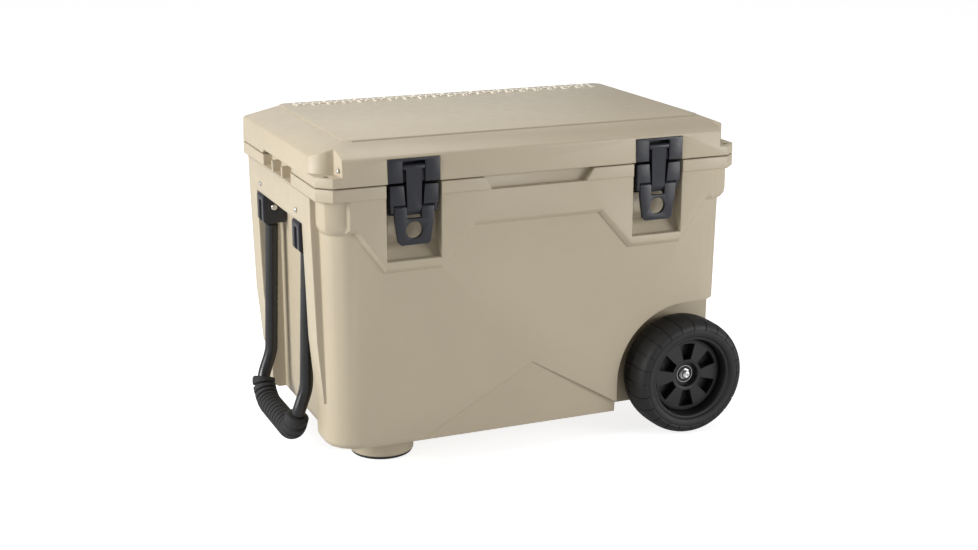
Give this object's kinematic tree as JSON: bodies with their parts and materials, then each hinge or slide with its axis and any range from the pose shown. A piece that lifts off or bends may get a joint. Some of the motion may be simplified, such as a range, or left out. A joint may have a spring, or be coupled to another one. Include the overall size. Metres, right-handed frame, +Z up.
{
  "type": "wheeled hard cooler",
  "caption": "Tan rotomoulded hard cooler with black wheels, a drop-down tow handle with foam grip and slate draw latches.",
  "frame": {"origin": "bottom centre of the object's bounding box, on the floor", "axes": "+X along the chest from the tow handle to the wheels, -Y out of the front with the latches, +Z up"},
  "size_m": [0.6984, 0.468, 0.49],
  "materials": {
    "tan_moulding": "fine-grained satin",
    "insulation": "rigid foam",
    "liner": "smooth satin",
    "slate_plastic": "satin",
    "rubber": "matte",
    "black_tube": "satin black powder coat",
    "grip_foam": "matte foam",
    "tyre": "matte",
    "rim_plastic": "satin",
    "steel": "bright"
  },
  "bodies": {
    "chest": {"body_shell": "tan_moulding", "foam_core": "insulation", "inner_liner": "liner", "foot_pad_front": "rubber", "foot_pad_rear": "rubber", "latch_base_left": "slate_plastic", "latch_base_right": "slate_plastic", "handle_bracket_front": "slate_plastic", "handle_bracket_rear": "slate_plastic", "hinge_cap_left": "slate_plastic", "hinge_cap_right": "slate_plastic", "drain_spout": "slate_plastic", "wheel_spacer_front": "slate_plastic", "wheel_spacer_rear": "slate_plastic", "axle": "steel", "axle_nut_front": "steel", "axle_nut_rear": "steel", "axle_washer_front": "steel", "axle_washer_rear": "steel", "hinge_rod": "steel", "pivot_bolt_front": "steel", "pivot_bolt_rear": "steel", "bracket_screw_front": "steel", "bracket_screw_rear": "steel", "lever_pin_left": "steel", "lever_pin_right": "steel"},
    "lid": {"lid_shell": "tan_moulding", "lid_foam": "insulation", "lid_liner": "liner", "lid_seal": "rubber", "lid_screw_left": "steel", "lid_screw_right": "steel", "latch_keeper_left": "slate_plastic", "latch_keeper_right": "slate_plastic"},
    "handle": {"handle_bail": "black_tube", "handle_grip": "grip_foam"},
    "wheel_front": {"tyre_front": "tyre", "wheel_rim_front": "rim_plastic", "bearing_front": "steel"},
    "wheel_rear": {"tyre_rear": "tyre", "wheel_rim_rear": "rim_plastic", "bearing_rear": "steel"},
    "lever_left": {"latch_lever_left": "slate_plastic", "link_pin_left": "steel"},
    "lever_right": {"latch_lever_right": "slate_plastic", "link_pin_right": "steel"},
    "link_left": {"latch_link_left": "slate_plastic"},
    "link_right": {"latch_link_right": "slate_plastic"},
    "drain_plug": {"drain_bung": "rubber"}
  },
  "joints": [
    {"name": "lid_hinge", "type": "hinge", "parent": "chest", "child": "lid", "pos_m": [0.00715, 0.222, 0.431], "axis": [-1, 0, 0], "range_deg": [0, 100]},
    {"name": "handle_swing", "type": "hinge", "parent": "chest", "child": "handle", "pos_m": [-0.30765, 0, 0.3458], "axis": [0, 1, 0], "range_deg": [0, 90]},
    {"name": "wheel_front_spin", "type": "hinge", "parent": "chest", "child": "wheel_front", "pos_m": [0.25815, -0.212, 0.091], "axis": [0, 1, 0], "continuous": true},
    {"name": "wheel_rear_spin", "type": "hinge", "parent": "chest", "child": "wheel_rear", "pos_m": [0.25815, 0.212, 0.091], "axis": [0, 1, 0], "continuous": true},
    {"name": "latch_left_lever", "type": "hinge", "parent": "chest", "child": "lever_left", "pos_m": [-0.18535, -0.206, 0.3945], "axis": [-1, 0, 0], "range_deg": [0, 85]},
    {"name": "latch_left_link", "type": "hinge", "parent": "lever_left", "child": "link_left", "pos_m": [-0.18535, -0.2048, 0.3875], "axis": [-1, 0, 0], "range_deg": [-85, 0]},
    {"name": "latch_right_lever", "type": "hinge", "parent": "chest", "child": "lever_right", "pos_m": [0.19965, -0.206, 0.3945], "axis": [-1, 0, 0], "range_deg": [0, 85]},
    {"name": "latch_right_link", "type": "hinge", "parent": "lever_right", "child": "link_right", "pos_m": [0.19965, -0.2048, 0.3875], "axis": [-1, 0, 0], "range_deg": [-85, 0]},
    {"name": "drain_plug_pull", "type": "slide", "parent": "chest", "child": "drain_plug", "axis": [0, 1, 0], "range_m": [0, 0.045]}
  ],
  "couplings": [
    {"joint": "latch_left_link", "follows": "latch_left_lever", "ratio": -1},
    {"joint": "latch_right_link", "follows": "latch_right_lever", "ratio": -1}
  ]
}
